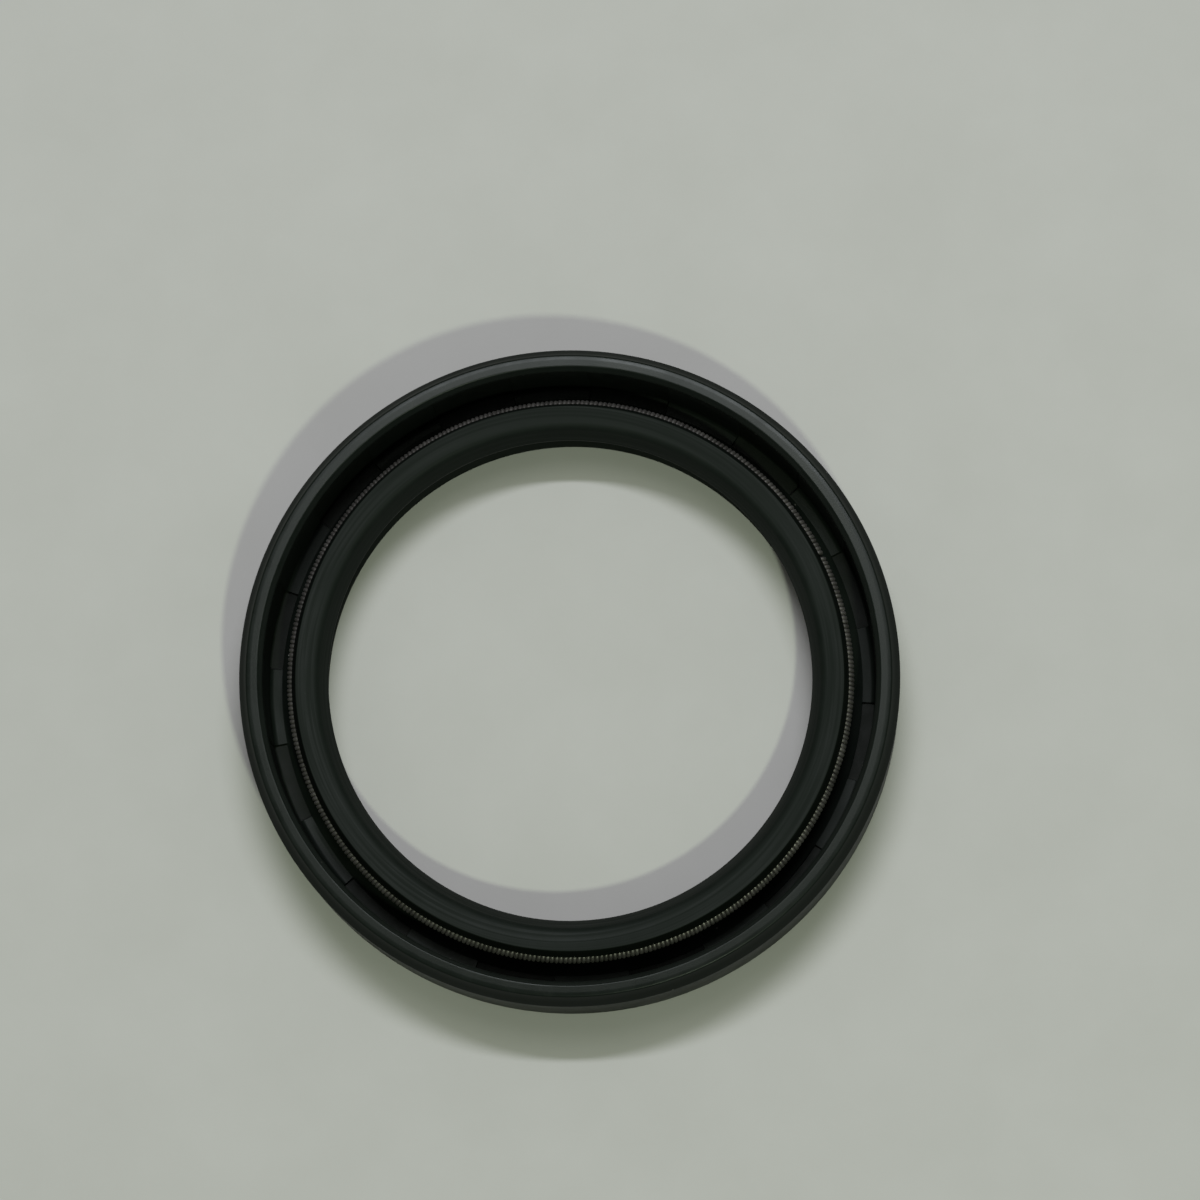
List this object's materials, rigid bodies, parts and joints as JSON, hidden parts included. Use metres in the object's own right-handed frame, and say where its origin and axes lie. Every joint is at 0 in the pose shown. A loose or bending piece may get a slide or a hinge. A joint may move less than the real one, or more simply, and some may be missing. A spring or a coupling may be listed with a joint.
{
  "type": "radial shaft seal",
  "caption": "Rubber-covered radial shaft seal with a spring-loaded main lip, a dust lip and a steel stiffening case, keeping oil in along a turning shaft.",
  "frame": {"origin": "centre of the flat back (air side) face, on the shaft axis", "axes": "+Z along the shaft axis towards the oil side, where the garter spring and the open groove are; +X and +Y lie in the back face"},
  "size_m": [0.052, 0.052, 0.01],
  "materials": {
    "rubber": "satin black",
    "case_steel": "dull grey, primed for bonding",
    "spring_steel": "bright drawn wire"
  },
  "bodies": {
    "root": {"rubber_body": "rubber", "steel_case": "case_steel", "garter_spring": "spring_steel"}
  },
  "joints": []
}
